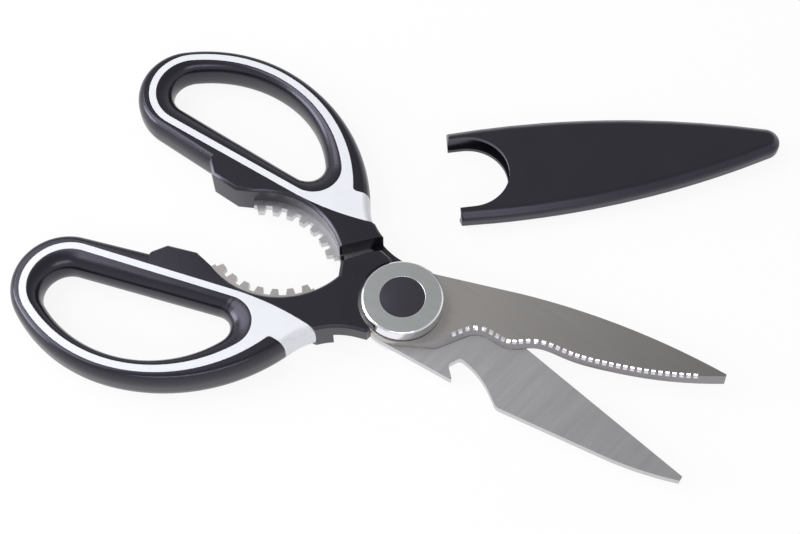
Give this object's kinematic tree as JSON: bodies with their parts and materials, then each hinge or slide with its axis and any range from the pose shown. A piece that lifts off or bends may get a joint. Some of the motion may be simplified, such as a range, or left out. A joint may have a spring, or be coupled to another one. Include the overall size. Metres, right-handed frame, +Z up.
{
  "type": "kitchen shears",
  "caption": "Kitchen shears with soft finger loops, a toothed nutcracker between the handles, a bottle-opener notch, a serrated blade with a bone notch, and a separate blade sheath.",
  "frame": {"origin": "the pivot axis, where it meets the surface that the shears lie on, which is the bottom face of the pivot base", "axes": "+X along the line midway between the two handles' axes, towards the tips; +Z up along the pivot axis; +Y towards the opener half's handle and the sheath"},
  "size_m": [0.2127, 0.1742, 0.014],
  "materials": {
    "opener_steel": "brushed along the blade, with a polished ground edge",
    "serrated_steel": "brushed along the blade, with a serrated ground edge",
    "pivot_steel": "turned, with a brushed face and a polished wall",
    "washer_steel": "plain spring steel",
    "white_plastic": "hard moulded plastic, satin gloss",
    "grip_rubber": "soft moulded grip, satin",
    "jaw_plastic": "hard moulded plastic, fine texture",
    "plug_plastic": "hard moulded plastic, slightly crowned",
    "sheath_plastic": "moulded plastic, satin"
  },
  "bodies": {
    "opener_half": {"opener_blade": "opener_steel", "opener_handle_core": "white_plastic", "opener_grip": "grip_rubber", "opener_loop_liner": "grip_rubber", "opener_jaw_shell": "jaw_plastic", "pivot_base": "pivot_steel", "thrust_washer": "washer_steel", "pivot_cap": "pivot_steel", "spring_washer": "washer_steel", "pivot_screw": "washer_steel", "pivot_plug": "plug_plastic"},
    "serrated_half": {"serrated_blade": "serrated_steel", "serrated_handle_core": "white_plastic", "serrated_grip": "grip_rubber", "serrated_loop_liner": "grip_rubber", "serrated_jaw_shell": "jaw_plastic"},
    "sheath": {"blade_sheath": "sheath_plastic"}
  },
  "joints": [
    {"name": "pivot_hinge", "type": "hinge", "parent": "opener_half", "child": "serrated_half", "pos_m": [0, 0, 0], "axis": [0, 0, 1], "range_deg": [-21.5, 34.4]},
    {"name": "sheath_draw", "type": "slide", "parent": "opener_half", "child": "sheath", "axis": [0.8353, 0.5498, 0], "range_m": [0, 0.1]}
  ]
}
